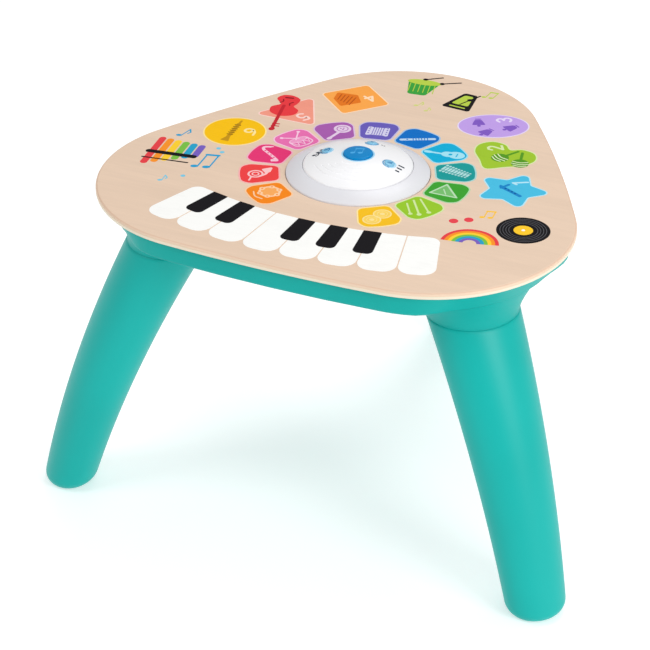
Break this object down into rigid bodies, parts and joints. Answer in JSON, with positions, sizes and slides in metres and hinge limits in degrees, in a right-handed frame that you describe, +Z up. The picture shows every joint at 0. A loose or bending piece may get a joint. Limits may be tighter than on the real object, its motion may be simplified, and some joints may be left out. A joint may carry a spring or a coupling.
{
  "type": "musical activity table",
  "caption": "Low three-legged activity table for a toddler: rounded-triangle touch play top with a light-up push-button dome, moulded tray, electronics pod, battery bay and bowed legs.",
  "frame": {"origin": "on the floor, under the middle of the table and its three feet taken together", "axes": "+Z up; -Y faces the player at the keys; +X to the player's right; the third leg is at +Y"},
  "size_m": [0.5642, 0.5186, 0.3625],
  "materials": {
    "birch_top": "clear satin varnish",
    "amber_film": "matt polyimide",
    "teal_plastic": "fine satin moulded",
    "pad_rubber": "matt",
    "frosted_plastic": "frosted translucent",
    "white_plastic": "smooth satin",
    "blue_plastic": "smooth gloss",
    "pale_blue_plastic": "smooth gloss",
    "board_green": "solder mask",
    "black_plastic": "matt moulded",
    "lamp_resin": "clear yellow resin",
    "steel": "zinc plated",
    "pod_teal": "fine satin moulded",
    "cell_jacket": "printed jacket, plain",
    "speaker_steel": "pressed",
    "cone_black": "coated paper",
    "magnet_iron": "ferrite and plated steel",
    "red_wire": "insulated",
    "black_wire": "insulated"
  },
  "bodies": {
    "table": {"top_panel": "birch_top", "touch_film": "amber_film", "base_tray": "teal_plastic", "leg_sockets": "teal_plastic", "leg_left": "teal_plastic", "leg_right": "teal_plastic", "leg_back": "teal_plastic", "foot_pads": "pad_rubber", "light_ring": "frosted_plastic", "dome_cover": "white_plastic", "dome_board": "board_green", "button_switches": "black_plastic", "dome_lamps": "lamp_resin", "dome_board_screws": "steel", "ring_screws": "steel", "electronics_pod": "pod_teal", "battery_door": "pod_teal", "battery_door_screw": "steel", "batteries": "cell_jacket", "battery_springs": "steel", "battery_plates": "steel", "speaker_frame": "speaker_steel", "speaker_cone": "cone_black", "speaker_magnet": "magnet_iron", "speaker_screws": "steel", "main_board": "board_green", "main_board_parts": "black_plastic", "main_board_screws": "steel", "power_switch_body": "black_plastic", "tray_screws": "steel", "pod_screws": "steel", "speaker_wires": "red_wire", "battery_wires": "black_wire", "switch_wires": "black_wire", "film_ribbon": "amber_film", "dome_ribbon": "amber_film"},
    "main_button": {"main_button": "blue_plastic"},
    "left_button": {"left_button": "pale_blue_plastic"},
    "right_button": {"right_button": "pale_blue_plastic"},
    "rear_button": {"rear_button": "pale_blue_plastic"},
    "power_slider": {"power_slider": "white_plastic"}
  },
  "joints": [
    {"name": "main_button_press", "type": "slide", "parent": "table", "child": "main_button", "axis": [0, 0, 1], "range_m": [-0.0015, 0], "stiffness_N_per_m": 300, "springref_m": 0.002},
    {"name": "left_button_press", "type": "slide", "parent": "table", "child": "left_button", "axis": [-0.2535, 0, 0.9673], "range_m": [-0.0012, 0], "stiffness_N_per_m": 300, "springref_m": 0.002},
    {"name": "right_button_press", "type": "slide", "parent": "table", "child": "right_button", "axis": [0.2535, 0, 0.9673], "range_m": [-0.0012, 0], "stiffness_N_per_m": 300, "springref_m": 0.002},
    {"name": "rear_button_press", "type": "slide", "parent": "table", "child": "rear_button", "axis": [0, 0.2535, 0.9673], "range_m": [-0.0012, 0], "stiffness_N_per_m": 300, "springref_m": 0.002},
    {"name": "power_slide", "type": "slide", "parent": "table", "child": "power_slider", "axis": [1, 0, 0], "range_m": [0, 0.005]}
  ]
}
